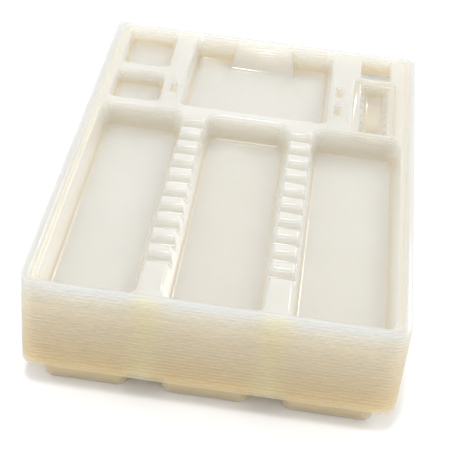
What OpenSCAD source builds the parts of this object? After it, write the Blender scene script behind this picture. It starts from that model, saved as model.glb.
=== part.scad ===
// Stack of nested clear thermoformed compartment trays.
// Millimetres, +Z up, +Y towards the back, origin on the resting face under the middle of the lowest tray.
// Every tray is one thin drawn sheet: a flat rim with a turned-down lip, a shallow recess, three long
// front wells with notched ribs between them, and small pockets across the back.

/* [Sheet and nesting] */
// Thickness of the formed sheet
sheet = 0.35; // [0.25:0.05:0.6]
// Draft of every drawn wall, from the vertical
draft = 14.5; // [10:0.5:20]
// Free gap between the walls of one tray and the next, measured square to the wall
nest_clearance = 0.34; // [0.3:0.02:0.6]
// Gap between one tray's lip and the rim below it
lip_clearance = 0.45; // [0.3:0.05:1]

/* [Tray outline] */
// Left to right over the rim
width = 244; // [200:1:300]
// Front to back over the rim
depth = 340; // [280:1:420]
// Rim top to the underside of the front wells
height = 22.2; // [18:0.1:30]
// Outline radius at the two front corners
corner_front = 10; // [4:0.5:14]
// Outline radius at the two back corners
corner_back = 6; // [3:0.5:14]
// Flat rim width at the sides
rim_side = 5; // [3:0.1:9]
// Flat rim width at the front
rim_front = 4.2; // [3:0.1:9]
// Flat rim width at the back
rim_back = 4.4; // [3:0.1:9]
// Drop from the rim to the deck around the compartments
deck_drop = 4; // [2:0.1:8]

/* [Front wells] */
// Rim edge to the foot of the side walls
foot_side = 14; // [12:0.5:20]
// Rim edge to the foot of the front walls
foot_front = 10.7; // [10.7:0.1:16]
// Share of the tray depth taken by the wells' floors
well_share = 0.605; // [0.5:0.005:0.65]
// Corner radius on the well floors
well_corner = 6; // [3:0.5:10]
// Spacing of the two ribs
rib_spacing = 80.5; // [70:0.5:90]
// How far both ribs sit to the left
rib_shift = 1.75; // [0:0.25:4]
// Rib width at the well floor
rib_foot = 24; // [20:0.5:30]

/* [Rib notches] */
// Notches in each rib
notch_count = 10; // [2:1:12]
// Depth of a notch below the deck
notch_depth = 6; // [3:0.5:10]
// Length of a notch floor along the rib
notch_floor = 5.5; // [3:0.5:8]
// Draft of the notch walls
notch_draft = 22; // [14.5:0.5:30]

/* [Back pockets] */
// Deck strip between the wells and the pockets
strip = 8; // [6:0.5:12]
// Depth of the two left pockets below the rim
side_pocket_depth = 15; // [10:0.5:18]
// Floor width of the two left pockets
side_pocket_width = 33.5; // [25:0.5:40]
// Share of the back zone's length given to the nearer left pocket
near_share = 0.39; // [0.3:0.01:0.5]
// Depth of the middle pocket below the rim
middle_depth = 20; // [12:0.5:20]
// Foot-to-foot width of the dividers beside the middle pocket
divider = 22; // [20:0.5:30]
// Corner radius on the pocket floors
pocket_corner = 3; // [2:0.5:6]
// Share of the middle pocket's width taken by the block at its back
block_share = 0.5; // [0.3:0.05:0.6]
// How far the block stands out at the floor
block_reach = 12; // [8:0.5:16]
// Slope of the block's front face, from the vertical
block_slope = 35; // [20:1:45]

/* [Finger notches] */
// Floor width of a finger notch
finger_width = 3.6; // [2:0.2:6]
// Floor length of a finger notch
finger_length = 12; // [8:0.5:16]
// Depth of a finger notch below the deck
finger_depth = 3.5; // [2:0.5:6]

/* [Right-hand back compartments] */
// Width of the grooved compartment's ledge
ledge_width = 31.5; // [26:0.5:36]
// Drop from the deck to the ledge
ledge_drop = 2.6; // [1.5:0.1:5]
// Share of the back zone's length given to the grooved compartment
groove_share = 0.665; // [0.55:0.005:0.7]
// Depth of the trough below the rim
trough_depth = 15; // [11:0.5:18]
// Floor width of the trough
trough_floor = 11; // [6:0.5:16]
// Slope of the trough's long sides, from the vertical
trough_slope = 35; // [20:1:45]
// Cross grooves in the trough's sides
groove_count = 6; // [2:1:8]
// Depth of the cross grooves below the rim
groove_depth = 11.5; // [8:0.5:14]
// Depth of the small pocket below the rim
small_depth = 12; // [8:0.5:16]
// Floor width of the small pocket
small_width = 20.5; // [14:0.5:26]
// Depth of the step in the small pocket below the rim
step_depth = 8; // [6:0.5:10]

/* [Hidden] */
$fn = 48;
ta = tan(draft);
pitch = (sheet + nest_clearance) / sin(draft);
lip = pitch - lip_clearance;
deck = height - deck_drop;
over = deck + 1;
left = -width / 2 + foot_side;
right = width / 2 - foot_side;
front = -depth / 2 + foot_front;
well_back = front + depth * well_share;
rib_l = -rib_shift - rib_spacing / 2;
rib_r = -rib_shift + rib_spacing / 2;
well_rise = (deck - sheet) * ta;
zone_front = well_back + well_rise + strip;
zone_back = depth / 2 - rim_back - deck_drop * ta - 1.2;
zone = zone_back - zone_front;
divide = 11;
round_turns = [0, 22.5, 45, 67.5, 90, 112.5, 135, 157.5];
notch_pitch = depth * well_share / 11.7;

// Half sizes grow by this much at height z for a wall whose foot is at zf, moved out by o.
function grow(z, zf, o, a) = o / cos(a) + (z - zf) * tan(a);

// A block between x0 and x1 at its foot, widening upwards, running from y0 to y1.
module across_x(x0, x1, y0, y1, zf, zb, zt, o, a) {
    translate([0, y1, 0]) rotate([90, 0, 0]) linear_extrude(y1 - y0)
        polygon([[x0 - grow(zb, zf, o, a), zb], [x1 + grow(zb, zf, o, a), zb],
                 [x1 + grow(zt, zf, o, a), zt], [x0 - grow(zt, zf, o, a), zt]]);
}

module across_y(x0, x1, y0, y1, zf, zb, zt, o, a) {
    translate([x0, 0, 0]) rotate([90, 0, 90]) linear_extrude(x1 - x0)
        polygon([[y0 - grow(zb, zf, o, a), zb], [y1 + grow(zb, zf, o, a), zb],
                 [y1 + grow(zt, zf, o, a), zt], [y0 - grow(zt, zf, o, a), zt]]);
}

// A drafted tub whose corners are turned in flat facets about the radius r; its floor is at zf and
// everything moves out and down by o.
module tub(x0, x1, y0, y1, zf, zt, r, o, turns = [0, 45, 90, 135]) {
    a = (x1 - x0) / 2;
    b = (y1 - y0) / 2;
    translate([(x0 + x1) / 2, (y0 + y1) / 2, 0]) intersection_for(t = turns) {
        d = abs(cos(t)) * (a - r) + abs(sin(t)) * (b - r) + r;
        rotate([0, 0, t]) across_x(-d, d, -a - b - 60, a + b + 60, zf, zf - o, zt, o, draft);
    }
}

// A drafted tub with square corners, with its own draft each way.
module cut(x0, x1, y0, y1, zf, zt, ax, ay, o) {
    intersection() {
        across_x(x0, x1, y0 - 30, y1 + 30, zf, zf - o, zt, o, ax);
        across_y(x0 - 30, x1 + 30, y0, y1, zf, zf - o, zt, o, ay);
    }
}

module outline(grow_by) {
    wf = width / 2 + grow_by;
    df = depth / 2 + grow_by;
    rf = corner_front + grow_by;
    rb = corner_back + grow_by;
    union() {
        translate([-wf, -df + rf]) square([2 * wf, 2 * df - rf - rb]);
        translate([-wf + rf, -df]) square([2 * (wf - rf), df]);
        translate([-wf + rb, 0]) square([2 * (wf - rb), df]);
        for (s = [-1, 1]) {
            translate([s * (wf - rf), -df + rf]) circle(r = rf);
            translate([s * (wf - rb), df - rb]) circle(r = rb);
        }
    }
}

module recess(o, zt) {
    g = deck_drop * ta;
    tub(-width / 2 + rim_side + g, width / 2 - rim_side - g, -depth / 2 + rim_front + g,
        depth / 2 - rim_back - g, deck, zt, 6, o, round_turns);
}

module wells(o) {
    h = rib_foot / 2;
    tub(left, rib_l - h, front, well_back, sheet, over, well_corner, o, round_turns);
    tub(rib_l + h, rib_r - h, front, well_back, sheet, over, well_corner, o, round_turns);
    tub(rib_r + h, right, front, well_back, sheet, over, well_corner, o, round_turns);
}

module rib_notches(o) {
    for (x = [rib_l, rib_r], i = [0 : notch_count - 1]) {
        y = front + notch_pitch * (2.05 + i);
        across_y(x - rib_foot / 2, x + rib_foot / 2, y - notch_floor / 2, y + notch_floor / 2,
                 deck - notch_depth, deck - notch_depth - o, over, o, notch_draft);
    }
}

module left_pockets(o) {
    zf = height - side_pocket_depth;
    g = (deck - zf) * ta;
    near = zone * near_share;
    tub(left, left + side_pocket_width, zone_front + g, zone_front + near - g, zf, over, pocket_corner, o);
    tub(left, left + side_pocket_width, zone_front + near + divide + g, zone_back - g, zf, over,
        pocket_corner, o);
}

ledge_right = right - 1;
ledge_left = ledge_right - ledge_width;
middle_left = left + side_pocket_width + divider;
middle_right = ledge_left - divider - 1;

module middle_pocket(o) {
    zf = height - middle_depth;
    g = (deck - zf) * ta;
    xm = (middle_left + middle_right) / 2;
    half = (middle_right - middle_left) * block_share / 2;
    yb = zone_back - g;
    zl = zf - o - 1;
    zt = over + 1;
    difference() {
        tub(middle_left, middle_right, zone_front + g, yb, zf, over, pocket_corner, o);
        intersection() {
            translate([0, depth / 2, 0]) rotate([90, 0, 0]) linear_extrude(60)
                polygon([[xm - half + grow(zl, zf, o, draft), zl], [xm + half - grow(zl, zf, o, draft), zl],
                         [xm + half - grow(zt, zf, o, draft), zt], [xm - half + grow(zt, zf, o, draft), zt]]);
            translate([xm - 60, 0, 0]) rotate([90, 0, 90]) linear_extrude(120)
                polygon([[yb - block_reach + grow(zl, zf, o, block_slope), zl], [depth / 2 + 5, zl],
                         [depth / 2 + 5, zt], [yb - block_reach + grow(zt, zf, o, block_slope), zt]]);
        }
    }
}

module finger_notches(o) {
    zf = deck - finger_depth;
    w = finger_width / 2;
    l = finger_length / 2;
    xl = left + side_pocket_width + divider / 2;
    xr = middle_right + divider / 2 - 0.5;
    for (p = [[xl, zone_front + zone * 0.22], [xr, zone_front + zone * 0.2], [xr, zone_front + zone * 0.45]])
        cut(p[0] - w, p[0] + w, p[1] - l, p[1] + l, zf, over, draft, draft, o);
}

module grooved_compartment(o) {
    zl = deck - ledge_drop;
    g = ledge_drop * ta;
    y0 = well_back + well_rise + strip / 2 + g;
    y1 = zone_front + zone * groove_share - g;
    xm = (ledge_left + ledge_right) / 2;
    cut(ledge_left, ledge_right, y0, y1, zl, over, draft, draft, o);
    zf = height - trough_depth;
    ty0 = y0 + 2 + (zl - zf) * ta;
    ty1 = y1 - 2 - (zl - zf) * ta;
    cut(xm - trough_floor / 2, xm + trough_floor / 2, ty0, ty1, zf, zl + 1, trough_slope, draft, o);
    gz = height - groove_depth;
    gp = (ty1 - ty0) / groove_count;
    for (i = [0 : groove_count - 1])
        cut(xm - trough_floor / 2 - 4, xm + trough_floor / 2 + 4, ty0 + gp * (i + 0.5) - 1.2,
            ty0 + gp * (i + 0.5) + 1.2, gz, zl + 1, draft, 20, o);
}

module small_pocket(o) {
    zf = height - small_depth;
    zs = height - step_depth;
    g = (deck - zf) * ta;
    xm = (ledge_left + ledge_right) / 2;
    y0 = zone_front + zone * groove_share + 4 + g;
    y1 = zone_back - g;
    ys = y0 + (y1 - y0) * 0.5;
    difference() {
        cut(xm - small_width / 2, xm + small_width / 2, y0, y1, zf, over, draft, draft, o);
        translate([xm - 30, 0, 0]) rotate([90, 0, 90]) linear_extrude(60)
            polygon([[y0 - 20, zf - o - 1], [ys - grow(zf - o - 1, zf, o, draft), zf - o - 1],
                     [ys - grow(zs - o, zf, o, draft), zs - o], [y0 - 20, zs - o]]);
    }
}

module drawn_shape(o, zt) {
    recess(o, zt);
    wells(o);
    rib_notches(o);
    left_pockets(o);
    middle_pocket(o);
    finger_notches(o);
    grooved_compartment(o);
    small_pocket(o);
}

module one_tray() {
    difference() {
        union() {
            translate([0, 0, height - sheet]) linear_extrude(sheet) outline(0);
            drawn_shape(sheet, height - sheet / 2);
        }
        drawn_shape(0, height + 1);
    }
    translate([0, 0, height - lip]) linear_extrude(lip - sheet / 2) difference() {
        outline(0);
        outline(-sheet);
    }
}

module tray(k) {
    color([0.93, 0.92, 0.88]) translate([0, 0, k * pitch]) one_tray();
}

tray(0);  // tray_01
tray(1);  // tray_02
tray(2);  // tray_03
tray(3);  // tray_04
tray(4);  // tray_05
tray(5);  // tray_06
tray(6);  // tray_07
tray(7);  // tray_08
tray(8);  // tray_09
tray(9);  // tray_10
tray(10);  // tray_11
tray(11);  // tray_12
tray(12);  // tray_13
tray(13);  // tray_14
tray(14);  // tray_15
tray(15);  // tray_16
tray(16);  // tray_17
tray(17);  // tray_18
tray(18);  // tray_19
tray(19);  // tray_20
tray(20);  // tray_21
tray(21);  // tray_22
tray(22);  // tray_23
tray(23);  // tray_24
tray(24);  // tray_25
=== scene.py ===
import math

import bpy
import numpy as np
from mathutils import Matrix, Vector


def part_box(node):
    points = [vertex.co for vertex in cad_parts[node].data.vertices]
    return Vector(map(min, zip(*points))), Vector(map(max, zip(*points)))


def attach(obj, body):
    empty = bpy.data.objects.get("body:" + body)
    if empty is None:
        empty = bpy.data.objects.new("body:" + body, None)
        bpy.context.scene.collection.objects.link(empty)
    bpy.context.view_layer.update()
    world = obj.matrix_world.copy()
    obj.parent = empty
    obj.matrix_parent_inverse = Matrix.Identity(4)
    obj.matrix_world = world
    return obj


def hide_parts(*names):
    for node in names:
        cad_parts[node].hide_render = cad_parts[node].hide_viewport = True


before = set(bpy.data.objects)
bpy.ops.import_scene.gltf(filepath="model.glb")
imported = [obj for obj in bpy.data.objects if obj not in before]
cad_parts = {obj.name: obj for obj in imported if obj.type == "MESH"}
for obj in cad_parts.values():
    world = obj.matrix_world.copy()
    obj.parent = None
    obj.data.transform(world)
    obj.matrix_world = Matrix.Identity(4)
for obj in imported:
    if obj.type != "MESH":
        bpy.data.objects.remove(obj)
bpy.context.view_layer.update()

N_TRAYS = 25
NAMES = ["tray_%02d" % (i + 1) for i in range(N_TRAYS)]
BODIES = ["tray_body_%02d" % (i + 1) for i in range(N_TRAYS)]
TO_MM, TO_METRES = 1000, 0.001

# ---------------------------------------------------------------- the tray's sizes, in millimetres
low_1, high_1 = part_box(NAMES[0])
low_2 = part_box(NAMES[1])[0]
PITCH = (low_2.z - low_1.z) * TO_MM
WIDTH = (high_1.x - low_1.x) * TO_MM
DEPTH = (high_1.y - low_1.y) * TO_MM
HEIGHT = (high_1.z - low_1.z) * TO_MM
HALF_W, HALF_D = WIDTH / 2, DEPTH / 2
SHEET = 0.35
# how far a wall leans out for each millimetre that it rises
LEAN = math.tan(math.radians(14.5))
NOTCH_LEAN = math.tan(math.radians(22))
BLOCK_LEAN = TROUGH_LEAN = math.tan(math.radians(35))
GROOVE_LEAN = math.tan(math.radians(20))

# the rim: its outer part lies a step lower, and its lip turns down to a small gap over the rim below
CORNER_FRONT, CORNER_BACK = 10.0, 6.0
STEP, STEP_INSET, STEP_RUN, STEP_CORNER = 0.32, 2.7, 0.7, 8.0
LIP_GAP, LIP_ROUND = 0.13, 0.25
LIP_DROP = PITCH - LIP_GAP + STEP
LIP_ANGLES = [30, 60, 90]

# the deck, sunk inside the rim
RIM_SIDE, RIM_FRONT, RIM_BACK = 5, 4.2, 4.4
DECK_DROP = 4.0
DECK = HEIGHT - DECK_DROP
DECK_RUN = DECK_DROP * LEAN
DECK_CORNER, DECK_FOOT, DECK_BROW = 6, 2.0, 1.6

# the three wells and the notched ribs between them
SIDE_INSET, FRONT_INSET = 14, 10.7
LEFT, RIGHT = -HALF_W + SIDE_INSET, HALF_W - SIDE_INSET
WELL_LENGTH = DEPTH * 0.605
FRONT = -HALF_D + FRONT_INSET
BACK = FRONT + WELL_LENGTH
WELL_TOP_BACK = BACK + (DECK - SHEET) * LEAN
WELL_CORNER, WELL_FOOT = 6, 5.0
RIBS = (-42.0, 38.5)
RIB_HALF = 12.0
NOTCH_SPACING = WELL_LENGTH / 11.7
FIRST_NOTCH, N_NOTCHES = 2.05, 10
NOTCHES = [FRONT + NOTCH_SPACING * (FIRST_NOTCH + i) for i in range(N_NOTCHES)]
NOTCH_HALF, NOTCH_DEEP, NOTCH_FOOT, NOTCH_BROW = 2.75, 6, 2.6, 1.8

# the pockets behind the wells lie between these two lines; the brow is the bend at a pocket's top
PLAIN_STRIP, ZONE_MARGIN = 8, 1.2
ZONE_FRONT = WELL_TOP_BACK + PLAIN_STRIP
ZONE_BACK = HALF_D - RIM_BACK - DECK_RUN - ZONE_MARGIN
ZONE = ZONE_BACK - ZONE_FRONT
POCKET_CORNER, POCKET_BROW = 3, 3.0

# two pockets at the left, one behind the other
LEFT_WIDE, LEFT_DEEP, LEFT_SPLIT, LEFT_WALL, LEFT_FOOT = 33.5, 15, 0.39, 11, 3.4

# the middle pocket with the sloping block at its back, and the ledge to its right
LEDGE_RIGHT = RIGHT - 1
LEDGE_LEFT = LEDGE_RIGHT - 31.5
LEDGE_MIDDLE = (LEDGE_LEFT + LEDGE_RIGHT) / 2
MIDDLE_LEFT, MIDDLE_RIGHT = LEFT + 55.5, LEDGE_LEFT - 23
MIDDLE_DEEP, MIDDLE_FOOT = 20, 4.0
BLOCK_LONG, BLOCK_TOP, BLOCK_FOOT = 12, 3.0, 2.5

# three finger notches: across (x) and how far back in the pocket zone
FINGER_LEFT, FINGER_RIGHT = LEFT + LEFT_WIDE + LEFT_WALL, MIDDLE_RIGHT + 10.5
FINGERS = ((FINGER_LEFT, 0.22), (FINGER_RIGHT, 0.2), (FINGER_RIGHT, 0.45))
FINGER_HALF_X, FINGER_HALF_Y, FINGER_DEEP = 1.8, 6, 3.5
FINGER_CORNER, FINGER_FOOT, FINGER_BROW = 0.6, 1.4, 1.0

# the ledge, its trough and the grooves across it
LEDGE_SHARE, LEDGE_DROP, LEDGE_STRIP = 0.665, 2.6, 4
LEDGE_CORNER, LEDGE_FOOT, LEDGE_BROW = 0.8, 1.2, 1.2
LEDGE_END = ZONE_FRONT + ZONE * LEDGE_SHARE
TROUGH_DEEP, TROUGH_HALF, TROUGH_INSET, TROUGH_FOOT = 15, 5.5, 2, 2.0
N_GROOVES = 6
GROOVE_HALF_X, GROOVE_HALF_Y, GROOVE_DEEP = 9.5, 1.2, 11.5
GROOVE_FOOT, GROOVE_BROW = 1.2, 1.0

# the small pocket and its step
SMALL_HALF, SMALL_DEEP, SMALL_WALL, SMALL_FOOT, SMALL_BROW = 10.25, 12, 4, 1.6, 1.6
SMALL_STEP_DEEP, SMALL_STEP_SHARE, SMALL_STEP_FOOT = 8, 0.5, 1.0


def smin(a, b, k):
    """The lesser of two heights, rounded over the width k where they meet."""
    h = np.maximum(k - np.abs(a - b), 0.0) / k
    return np.minimum(a, b) - h * h * k * 0.25


def smax(a, b, k):
    """The greater of two heights, rounded in the same way."""
    return -smin(-a, -b, k)


def rect(x, y, x0, x1, y0, y1, r):
    """Signed distance to a rectangle with round corners."""
    qx = np.abs(x - (x0 + x1) / 2) - (x1 - x0) / 2 + r
    qy = np.abs(y - (y0 + y1) / 2) - (y1 - y0) / 2 + r
    return np.hypot(np.maximum(qx, 0), np.maximum(qy, 0)) + np.minimum(np.maximum(qx, qy), 0) - r


def hollow(distance, floor_z, foot, lean=LEAN):
    """A flat floor inside an outline, and walls that rise outside it."""
    return smax(np.full_like(distance, floor_z), floor_z + distance / lean, foot)


def tub(x, y, x0, x1, y0, y1, floor_z, corner, foot):
    """A hollow with a rectangular floor."""
    return hollow(rect(x, y, x0, x1, y0, y1, corner), floor_z, foot)


def rim_and_deck(x, y):
    inward = -rect(x, y, -HALF_W, HALF_W, -HALF_D, HALF_D, STEP_CORNER)
    fade = np.clip((STEP_INSET - inward) / STEP_RUN, 0, 1)
    rim = np.full_like(x, HEIGHT) - STEP * fade ** 2 * (3 - 2 * fade)
    x0, x1 = -HALF_W + RIM_SIDE + DECK_RUN, HALF_W - RIM_SIDE - DECK_RUN
    y0, y1 = -HALF_D + RIM_FRONT + DECK_RUN, HALF_D - RIM_BACK - DECK_RUN
    return smin(rim, tub(x, y, x0, x1, y0, y1, DECK, DECK_CORNER, DECK_FOOT), DECK_BROW)


def with_wells(z, x, y):
    starts = (LEFT, RIBS[0] + RIB_HALF, RIBS[1] + RIB_HALF)
    ends = (RIBS[0] - RIB_HALF, RIBS[1] - RIB_HALF, RIGHT)
    for x0, x1 in zip(starts, ends):
        z = smin(z, tub(x, y, x0, x1, FRONT, BACK, SHEET, WELL_CORNER, WELL_FOOT), POCKET_BROW)
    for rib in RIBS:
        side = (np.abs(x - rib) - RIB_HALF) / LEAN + DECK - NOTCH_DEEP
        for middle in NOTCHES:
            notch = hollow(np.abs(y - middle) - NOTCH_HALF, DECK - NOTCH_DEEP, NOTCH_FOOT, NOTCH_LEAN)
            z = smin(z, np.maximum(notch, side), NOTCH_BROW)
    return z


def with_left_pockets(z, x, y):
    floor_z = HEIGHT - LEFT_DEEP
    run = (DECK - floor_z) * LEAN
    split = ZONE * LEFT_SPLIT
    starts = (ZONE_FRONT + run, ZONE_FRONT + split + LEFT_WALL + run)
    ends = (ZONE_FRONT + split - run, ZONE_BACK - run)
    for y0, y1 in zip(starts, ends):
        pocket = tub(x, y, LEFT, LEFT + LEFT_WIDE, y0, y1, floor_z, POCKET_CORNER, LEFT_FOOT)
        z = smin(z, pocket, POCKET_BROW)
    return z


def with_middle_pocket(z, x, y):
    floor_z = HEIGHT - MIDDLE_DEEP
    run = (DECK - floor_z) * LEAN
    y0, y1 = ZONE_FRONT + run, ZONE_BACK - run
    pocket = tub(x, y, MIDDLE_LEFT, MIDDLE_RIGHT, y0, y1, floor_z, POCKET_CORNER, MIDDLE_FOOT)
    centre, half = (MIDDLE_LEFT + MIDDLE_RIGHT) / 2, (MIDDLE_RIGHT - MIDDLE_LEFT) / 4
    side = (half - np.abs(x - centre)) / LEAN
    slope = (y - (y1 - BLOCK_LONG)) / BLOCK_LEAN
    block = smin(side, slope, BLOCK_TOP) + floor_z
    return smin(z, smax(pocket, block, BLOCK_FOOT), POCKET_BROW)


def with_finger_notches(z, x, y):
    for px, share in FINGERS:
        py = ZONE_FRONT + ZONE * share
        x0, x1 = px - FINGER_HALF_X, px + FINGER_HALF_X
        y0, y1 = py - FINGER_HALF_Y, py + FINGER_HALF_Y
        notch = tub(x, y, x0, x1, y0, y1, DECK - FINGER_DEEP, FINGER_CORNER, FINGER_FOOT)
        z = smin(z, notch, FINGER_BROW)
    return z


def with_trough(z, x, y):
    ledge_z = DECK - LEDGE_DROP
    ledge_run = LEDGE_DROP * LEAN
    y0, y1 = WELL_TOP_BACK + LEDGE_STRIP + ledge_run, LEDGE_END - ledge_run
    ledge = tub(x, y, LEDGE_LEFT, LEDGE_RIGHT, y0, y1, ledge_z, LEDGE_CORNER, LEDGE_FOOT)
    z = smin(z, ledge, LEDGE_BROW)
    floor_z = HEIGHT - TROUGH_DEEP
    run = (ledge_z - floor_z) * LEAN
    start, end = y0 + TROUGH_INSET + run, y1 - TROUGH_INSET - run
    off_centre = np.abs(x - LEDGE_MIDDLE)
    level = np.zeros_like(x)
    along = np.maximum(start - y, y - end) / LEAN
    across = (off_centre - TROUGH_HALF) / TROUGH_LEAN
    z = smin(z, smax(np.maximum(across, along), level, TROUGH_FOOT) + floor_z, LEDGE_BROW)
    spacing = (end - start) / N_GROOVES
    for i in range(N_GROOVES):
        middle = start + spacing * (i + 0.5)
        ends = (off_centre - GROOVE_HALF_X) / LEAN
        sides = (np.abs(y - middle) - GROOVE_HALF_Y) / GROOVE_LEAN
        groove = smax(np.maximum(ends, sides), level, GROOVE_FOOT) + HEIGHT - GROOVE_DEEP
        z = smin(z, groove, GROOVE_BROW)
    return z


def with_small_pocket(z, x, y):
    floor_z = HEIGHT - SMALL_DEEP
    run = (DECK - floor_z) * LEAN
    y0, y1 = LEDGE_END + SMALL_WALL + run, ZONE_BACK - run
    step_y = y0 + (y1 - y0) * SMALL_STEP_SHARE
    x0, x1 = LEDGE_MIDDLE - SMALL_HALF, LEDGE_MIDDLE + SMALL_HALF
    pocket = tub(x, y, x0, x1, y0, y1, floor_z, LEDGE_CORNER, SMALL_FOOT)
    step = np.minimum(np.full_like(x, HEIGHT - SMALL_STEP_DEEP), floor_z + (step_y - y) / LEAN)
    return smin(z, smax(pocket, step, SMALL_STEP_FOOT), SMALL_BROW)


def surface(x, y):
    """Height of the tray's upper surface."""
    z = rim_and_deck(x, y)
    for feature in (with_wells, with_left_pockets, with_middle_pocket, with_finger_notches, with_trough,
                    with_small_pocket):
        z = feature(z, x, y)
    return z


# ---------------------------------------------------------------- the mesh
COARSE, CLOSEST = 9, 0.3
QUICK_COARSER = 1.8
# where the surface bends: start, end and the spacing of the grid lines between them
FINE_X = [(-HALF_W, -HALF_W + 21, 0.75), (HALF_W - 21, HALF_W, 0.75)]
for rib in RIBS:
    left, right = rib - RIB_HALF, rib + RIB_HALF
    FINE_X += [(left - 7, left + 1, 0.85), (right - 1, right + 7, 0.85),
               (left, rib - 5, 0.6), (rib + 5, right, 0.6)]
FINE_X += [(-78, -58, 0.8), (-58, -49, 0.6), (-29, -19, 0.8), (19, 29, 0.8), (49, 58, 0.6), (58, 68, 0.7),
           (72, 111, 0.75)]
FINE_Y = [(-HALF_D, -HALF_D + 18, 0.75), (HALF_D - 18, HALF_D, 0.75), (BACK - 7, BACK + 7, 0.6),
          (ZONE_FRONT - 4, ZONE_FRONT + 8, 0.6), (ZONE_FRONT + 12, ZONE_FRONT + 34, 0.9),
          (ZONE_FRONT + 36, ZONE_FRONT + 60, 0.6), (ZONE_BACK - 22, ZONE_BACK + 2, 0.7),
          (LEDGE_END - 6, LEDGE_END + 8, 0.6), (ZONE_FRONT - 2, ZONE_FRONT + 70, 0.9)]
FINE_Y += [(middle - 6.2, middle + 6.2, 0.62) for middle in NOTCHES]
# the marks for the shader: how far to look for a fold, and what counts as one
FOLD_REACH, FOLD_FULL, FOLD_START = 1.3, 2.4, 0.25
RIM_MARK_DEPTH = 1.4
FACING = 0.7
FLAT_ANGLE = 1.2


def grid_lines(end, fine, scale):
    """Grid positions from -end to end: coarse, and finer inside each (start, end, spacing)."""
    found = [-end, end]
    found += list(np.linspace(-end, end, max(2, int((end + end) / COARSE) + 1)))
    for a, b, spacing in fine:
        a, b = max(a, -end), min(b, end)
        if b > a:
            found += list(np.linspace(a, b, max(2, int(math.ceil((b - a) / (spacing * scale))) + 1)))
    found = np.unique(np.round(found, 3))
    keep = [found[0]]
    for value in found[1:-1]:
        if value - keep[-1] > CLOSEST:
            keep.append(value)
    if found[-1] - keep[-1] < CLOSEST:
        keep.pop()
    keep.append(found[-1])
    return np.array(keep)


def round_corners(gx, gy):
    """Bends the square corners of the grid into round ones, in place."""
    for sx in (-1, 1):
        for sy, corner in ((-1, CORNER_FRONT), (1, CORNER_BACK)):
            r = corner - LIP_ROUND
            cx, cy = sx * (HALF_W - corner), sy * (HALF_D - corner)
            u, v = (gx - cx) * sx / r, (gy - cy) * sy / r
            inside = (u > 0) & (v > 0)
            u, v = u[inside], v[inside]
            f = np.maximum(u, v) / np.maximum(np.hypot(u, v), 1e-9)
            gx[inside], gy[inside] = cx + sx * r * u * f, cy + sy * r * v * f


def outward(points):
    """The direction, seen from above, that leads out of the tray at each point of its edge."""
    result = np.zeros((len(points), 2))
    for i, (px, py, _) in enumerate(points):
        sx, sy = (1 if px > 0 else -1), (1 if py > 0 else -1)
        corner = CORNER_BACK if sy > 0 else CORNER_FRONT
        cx, cy = HALF_W - corner, HALF_D - corner
        if abs(px) > cx and abs(py) > cy:
            away = np.array([px - sx * cx, py - sy * cy])
            result[i] = away / np.hypot(*away)
        elif abs(px) >= HALF_W - LIP_ROUND - 1e-3:
            result[i] = (sx, 0)
        else:
            result[i] = (0, sy)
    return result


def fold_marks(gx, gy, gz):
    """One where the sheet folds up at the foot of a wall, and zero where it is flat."""
    around = surface(gx + FOLD_REACH, gy) + surface(gx - FOLD_REACH, gy)
    around = around + surface(gx, gy + FOLD_REACH) + surface(gx, gy - FOLD_REACH)
    return np.clip((around - 4 * gz) / FOLD_REACH / FOLD_FULL - FOLD_START, 0, 1).ravel()


def mesh_of_quads(points, quads):
    me = bpy.data.meshes.new("raw")
    me.vertices.add(len(points))
    me.vertices.foreach_set("co", points.astype(np.float32).ravel())
    me.loops.add(len(quads) * 4)
    me.loops.foreach_set("vertex_index", quads.astype(np.int32).ravel())
    me.polygons.add(len(quads))
    me.polygons.foreach_set("loop_start", np.arange(0, len(quads) * 4, 4, dtype=np.int32))
    me.update(calc_edges=True)
    return me


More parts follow.
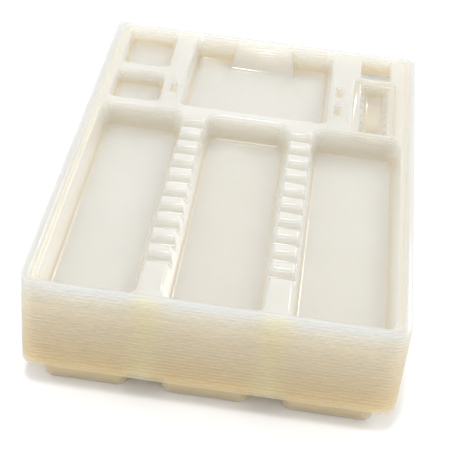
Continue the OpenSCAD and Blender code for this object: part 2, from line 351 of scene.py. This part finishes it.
def tray_mesh(quick):
    """The tray's upper surface with its turned-down lip, and marks that the shader reads."""
    scale = QUICK_COARSER if quick else 1.0
    xs = grid_lines(HALF_W - LIP_ROUND, FINE_X, scale)
    ys = grid_lines(HALF_D - LIP_ROUND, FINE_Y, scale)
    gx, gy = np.meshgrid(xs, ys, indexing="ij")
    round_corners(gx, gy)
    gz = surface(gx, gy)
    idx = np.arange(gz.size).reshape(gz.shape)
    points = [np.stack([gx, gy, gz], -1).reshape(-1, 3)]
    faces = [np.stack([idx[:-1, :-1], idx[1:, :-1], idx[1:, 1:], idx[:-1, 1:]], -1).reshape(-1, 4)]
    # the lip, ring by ring
    ring = np.concatenate([idx[:, 0], idx[-1, 1:], idx[-2::-1, -1], idx[0, -2:0:-1]])
    edge = points[0][ring]
    away = outward(edge)
    turns = []
    for angle in np.radians(LIP_ANGLES):
        turns.append((LIP_ROUND * math.sin(angle), edge[:, 2] - LIP_ROUND * (1 - math.cos(angle))))
    turns.append((LIP_ROUND, HEIGHT - LIP_DROP))
    count = gz.size
    for out, heights in turns:
        turned = edge.copy()
        turned[:, :2] += away * out
        turned[:, 2] = heights
        points.append(turned)
        below = np.arange(count, count + len(ring))
        faces.append(np.stack([ring, below, np.roll(below, -1), np.roll(ring, -1)], -1))
        count += len(ring)
        ring = below
    me = mesh_of_quads(np.concatenate(points) * TO_METRES, np.concatenate(faces))
    nowhere, everywhere = np.zeros(gz.size), np.ones(count - gz.size)
    marks = (
        ("fold", fold_marks(gx, gy, gz), 0 * everywhere),
        ("front", nowhere, np.tile(away[:, 1] < -FACING, len(turns))),
        ("side", nowhere, np.tile(np.abs(away[:, 0]) > FACING, len(turns))),
        ("lip", nowhere, everywhere),
        ("rim", np.clip(gz - HEIGHT + RIM_MARK_DEPTH, 0, 1).ravel(), everywhere),
    )
    for key, on_top, on_lip in marks:
        layer = me.attributes.new(key, "FLOAT", "POINT")
        layer.data.foreach_set("value", np.concatenate([on_top, on_lip]).astype(np.float32))
    me.validate()
    return me


def finish_mesh(me):
    """Merges flat areas into large faces, gives the sheet its thickness and smooths its shading."""
    ob = bpy.data.objects.new("work", me)
    bpy.context.scene.collection.objects.link(ob)
    merge = ob.modifiers.new("flat", "DECIMATE")
    merge.decimate_type = "DISSOLVE"
    merge.angle_limit = math.radians(FLAT_ANGLE)
    thicken = ob.modifiers.new("sheet", "SOLIDIFY")
    thicken.thickness = SHEET * TO_METRES
    thicken.offset = -1
    thicken.use_even_offset = True
    split = ob.modifiers.new("tri", "TRIANGULATE")
    split.min_vertices = 4
    depsgraph = bpy.context.evaluated_depsgraph_get()
    finished = bpy.data.meshes.new_from_object(ob.evaluated_get(depsgraph))
    bpy.data.objects.remove(ob)
    finished.polygons.foreach_set("use_smooth", [True] * len(finished.polygons))
    return finished


tray = finish_mesh(tray_mesh(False))
tray.name = "tray_sheet"

# ---------------------------------------------------------------- materials
SPECK = (0.3, 0.28, 0.25, 1)
# painted shade: a darker, warmer colour where the sheet folds at the foot of a wall
FOLD_SHADE = (0.90, 0.81, 0.62, 1)
# painted light: the brighter yellow on the front lips in front of the hollow ribs
RIB_LIGHT_PAINT = (0.99, 0.93, 0.64, 1)
RIB_LIGHT_PAINT_REACH, RIB_LIGHT_PAINT_SHARE = 0.017, 0.9
SIDE_GREEN = (0.82, 0.85, 0.66, 1)
SIDE_GREEN_SHARE = 0.45
CLEAR = (0.998, 0.994, 0.984, 1)
WHITE = (1, 1, 1, 1)
PLASTIC_IOR = 1.5
SLANT_HAZE, LIP_HAZE, FOLD_HAZE = 0.72, 0.05, 0.2
LIP_DULLER = -0.7
HAZE_DARKER = (0.97, 0.965, 0.95)
# moves the noise to another place for each level of the stack
DRIFT = (0.37, 0.61, 0.11)


def node_adder(tree):
    """Returns a function that adds a node to the tree: each input is a value or another node's output."""
    def add(kind, inputs, **settings):
        node = tree.nodes.new("ShaderNode" + kind)
        for key, value in settings.items():
            setattr(node, key, value)
        for key, value in inputs.items():
            if isinstance(value, bpy.types.NodeSocket):
                tree.links.new(value, node.inputs[key])
            else:
                node.inputs[key].default_value = value
        return node
    return add


def ramp(add, value, stops):
    """A colour that follows the value from the first stop to the second."""
    node = add("ValToRGB", {"Fac": value})
    for element, (position, colour) in zip(node.color_ramp.elements, stops):
        element.position = position
        element.color = (*colour, 1)
    return node.outputs["Color"]


def plastic(name, seed, shaded_tint, clear, edge):
    """A thin milky sheet: part gloss, part light let through, clearer face on than at a slant."""
    material = bpy.data.materials.new(name)
    material.use_nodes = True
    material.node_tree.nodes.clear()
    add = node_adder(material.node_tree)

    def calc(operation, *values, **settings):
        return add("Math", dict(enumerate(values)), operation=operation, **settings).outputs["Value"]

    def mix_colours(share, first, second):
        return add("Mix", {0: share, 6: first, 7: second}, data_type="RGBA").outputs[2]

    def mix_shaders(share, first, second):
        return add("MixShader", {"Fac": share, 1: first, 2: second}).outputs["Shader"]

    def noise(scale, detail):
        return add("TexNoise", {"Vector": place, "Scale": scale, "Detail": detail}).outputs["Fac"]

    def mark(key):
        return add("Attribute", {}, attribute_name=key).outputs["Fac"]

    def rib_bell(rib):
        distance = calc("ABSOLUTE", calc("SUBTRACT", across, rib * TO_METRES))
        inputs = {"Value": distance, "From Max": RIB_LIGHT_PAINT_REACH, "To Min": RIB_LIGHT_PAINT_SHARE, "To Max": 0.0}
        return add("MapRange", inputs, interpolation_type="SMOOTHSTEP").outputs["Result"]

    position = add("TexCoord", {}).outputs["Object"]
    shift = tuple(seed * part for part in DRIFT)
    place = add("Mapping", {"Vector": position, "Location": shift}).outputs["Vector"]
    across = add("SeparateXYZ", {0: position}).outputs["X"]
    fold, lip, rim = mark("fold"), mark("lip"), mark("rim")

    # the colour: a slow drift of haze, small specks, and the rim
    darker = tuple(part * share for part, share in zip(shaded_tint, HAZE_DARKER))
    colour = ramp(add, noise(22, 5), ((0.3, darker), (0.7, shaded_tint)))
    spots = add("TexVoronoi", {"Vector": place, "Scale": 9}).outputs["Distance"]
    off_speck = add("MapRange", {"Value": spots, "From Min": 0.006, "From Max": 0.012}).outputs["Result"]
    colour = mix_colours(off_speck, SPECK, colour)
    # painted light and shade: the rim and lip take the colour given for the tray's level, cool grey at
    # the top of the stack and warmer below
    colour = mix_colours(rim, colour, (*edge, 1))
    # painted light: the front lips are painted brighter and yellower in front of the hollow ribs, where
    # light shows through them; and the sheet looks green along the sides
    rib_light_paint = calc("ADD", *[rib_bell(rib) for rib in RIBS])
    colour = mix_colours(calc("MULTIPLY", mark("front"), rib_light_paint), colour, RIB_LIGHT_PAINT)
    colour = mix_colours(calc("MULTIPLY", mark("side"), SIDE_GREEN_SHARE), colour, SIDE_GREEN)
    # painted shade: the sheet is coloured darker and warmer where it folds at the foot of each wall
    colour = mix_colours(fold, colour, FOLD_SHADE)

    # fine handling marks in the gloss, and a faint wave in the sheet
    rough = add("MapRange", {"Value": noise(420, 3), "To Min": 0.1, "To Max": 0.22}).outputs["Result"]
    wave = {"Height": noise(60, 2), "Strength": 0.05, "Distance": 0.0004}
    normal = add("Bump", wave).outputs["Normal"]

    # the milky part, which light also comes through
    milk = add("BsdfPrincipled", {"Base Color": colour, "Roughness": rough, "IOR": PLASTIC_IOR,
                                  "Specular IOR Level": 0.0, "Normal": normal}).outputs["BSDF"]
    through = add("BsdfTranslucent", {"Color": colour}).outputs["BSDF"]
    milk = mix_shaders(0.5, milk, through)
    # clearer face on than at a slant, and milkier on the lip and in the folds
    facing = add("LayerWeight", {"Blend": 0.4}).outputs["Facing"]
    haze = add("MapRange", {"Value": facing, "To Min": 1 - clear, "To Max": SLANT_HAZE}).outputs["Result"]
    haze = calc("MULTIPLY_ADD", lip, LIP_HAZE, haze)
    haze = calc("MULTIPLY_ADD", fold, FOLD_HAZE, haze, use_clamp=True)
    # the sheet acts once for each pass through it, so its far side does nothing
    near_side = calc("SUBTRACT", 1.0, add("NewGeometry", {}).outputs["Backfacing"])
    gap = add("BsdfTransparent", {"Color": CLEAR}).outputs["BSDF"]
    sheet = mix_shaders(calc("MULTIPLY", haze, near_side), gap, milk)
    # the gloss, duller on the lip
    reflected = add("Fresnel", {"IOR": PLASTIC_IOR, "Normal": normal}).outputs["Fac"]
    duller = calc("MULTIPLY_ADD", lip, LIP_DULLER, 1.0)
    share = calc("MULTIPLY", calc("MULTIPLY", reflected, near_side), duller)
    gloss = add("BsdfGlossy", {"Color": WHITE, "Roughness": rough, "Normal": normal}).outputs["BSDF"]
    add("OutputMaterial", {"Surface": mix_shaders(share, sheet, gloss)})
    return material


# painted light and shade by stack level: the lower trays get darker, warmer copies of the same material,
# pale at the top and warmer towards the table, and the rim and lip go cool grey on the top tray and
# warmer further down
SHADE_LEVELS = [24, 23, 22, 19, 15, 11, 7, 3, 0]
TOP_LIT_TINT, LOW_SHADED_TINT = (0.955, 0.957, 0.95), (0.87, 0.76, 0.515)
COOL_RIM_SHADE, WARM_RIM_SHADE = (0.83, 0.85, 0.88), (1.03, 0.985, 0.90)
TINT_CURVE, RIM_CURVE = 0.7, 8
CLEARER_ABOVE, CLEAR_TOP, CLEAR_LOW = 18, 0.76, 0.6
mats = []
for i, lowest in enumerate(SHADE_LEVELS):
    height = (lowest / (N_TRAYS - 1)) ** TINT_CURVE
    cool = height ** RIM_CURVE
    shaded_tint = tuple(low + (top - low) * height for low, top in zip(LOW_SHADED_TINT, TOP_LIT_TINT))
    # painted shade on the rim and lip: cool grey for the top tray, warmer for the lower ones
    edge = tuple(t * (c * cool + w * (1 - cool)) for t, c, w in zip(shaded_tint, COOL_RIM_SHADE, WARM_RIM_SHADE))
    clear = CLEAR_TOP if lowest > CLEARER_ABOVE else CLEAR_LOW
    mats.append(plastic("level_shaded_sheet_%d" % i, i + 1, shaded_tint, clear, edge))
tray.materials.append(mats[0])
for i, (node, body) in enumerate(zip(NAMES, BODIES)):
    ob = bpy.data.objects.new("sheet_" + node, tray)
    bpy.context.scene.collection.objects.link(ob)
    lo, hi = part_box(node)
    ob.location = ((lo.x + hi.x) / 2, (lo.y + hi.y) / 2, lo.z)
    ob.material_slots[0].link = "OBJECT"
    # each tray takes the painted-shade copy of the material for its level in the stack
    ob.material_slots[0].material = mats[next(j for j, lowest in enumerate(SHADE_LEVELS) if i >= lowest)]
    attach(ob, body)
    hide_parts(node)

# ---------------------------------------------------------------- floor, light, camera
FLOOR_HALF, FLOOR_DROP = 30.0, 0.0002
floor_white = bpy.data.materials.new("floor_white")
floor_white.use_nodes = True
add = node_adder(floor_white.node_tree)
cloud = add("TexNoise", {"Scale": 3}).outputs["Fac"]
white = ramp(add, cloud, ((0, (0.93, 0.93, 0.94)), (1, (0.95, 0.95, 0.955))))
paper = floor_white.node_tree.nodes["Principled BSDF"]
floor_white.node_tree.links.new(white, paper.inputs["Base Color"])
paper.inputs["Roughness"].default_value = 0.9
paper.inputs["Specular IOR Level"].default_value = 0.0
plane = bpy.data.meshes.new("floor")
corners = [(-FLOOR_HALF, -FLOOR_HALF, 0), (FLOOR_HALF, -FLOOR_HALF, 0),
           (FLOOR_HALF, FLOOR_HALF, 0), (-FLOOR_HALF, FLOOR_HALF, 0)]
plane.from_pydata(corners, [], [(0, 1, 2, 3)])
plane.materials.append(floor_white)
floor = bpy.data.objects.new("floor", plane)
bpy.context.scene.collection.objects.link(floor)
floor.location.z = -FLOOR_DROP

world = bpy.data.worlds.new("studio")
bpy.context.scene.world = world
world.use_nodes = True
background = world.node_tree.nodes["Background"]
background.inputs["Color"].default_value = (0.96, 0.98, 1.0, 1)
background.inputs["Strength"].default_value = 1.03


def area(name, place, target, size, power, colour):
    """A rectangular light at a place, turned to its target."""
    light = bpy.data.lights.new(name, "AREA")
    light.shape = "RECTANGLE"
    light.size, light.size_y = size
    light.energy = power
    light.color = colour
    ob = bpy.data.objects.new(name, light)
    bpy.context.scene.collection.objects.link(ob)
    ob.location = place
    ob.rotation_euler = (Vector(target) - Vector(place)).to_track_quat("-Z", "Y").to_euler()


area("key", place=(1.4, 2.4, 1.8), target=(0, 0.05, 0.05), size=(0.32, 0.6), power=20,
     colour=(1, 0.995, 0.985))
area("top", place=(-0.16, -0.7, 3.0), target=(0, 0.0, 0.05), size=(0.32, 0.8), power=32,
     colour=(0.98, 0.99, 1))

# the camera, as solved from the photograph's straight edges
lens = bpy.data.cameras.new("camera")
lens.sensor_width = 36
lens.lens = 102.36
lens.clip_start = 0.01
lens.clip_end = 100
camera = bpy.data.objects.new("camera", lens)
bpy.context.scene.collection.objects.link(camera)
right = Vector((0.989326, 0.121062, 0.081109))
down = Vector((0.138031, -0.600108, -0.787920))
ahead = Vector((-0.046713, 0.790705, -0.610412))
turn = Matrix((right, -down, -ahead)).transposed()
camera.matrix_world = Matrix.Translation((0.03604, -0.75430, 0.60395)) @ turn.to_4x4()
bpy.context.scene.camera = camera

bpy.context.scene.view_settings.view_transform = "Standard"
cycles = bpy.context.scene.cycles
cycles.transparent_max_bounces = 40
cycles.sample_clamp_indirect = 4
cycles.max_bounces = 11
cycles.diffuse_bounces = 7
cycles.glossy_bounces = 8
cycles.transmission_bounces = 8
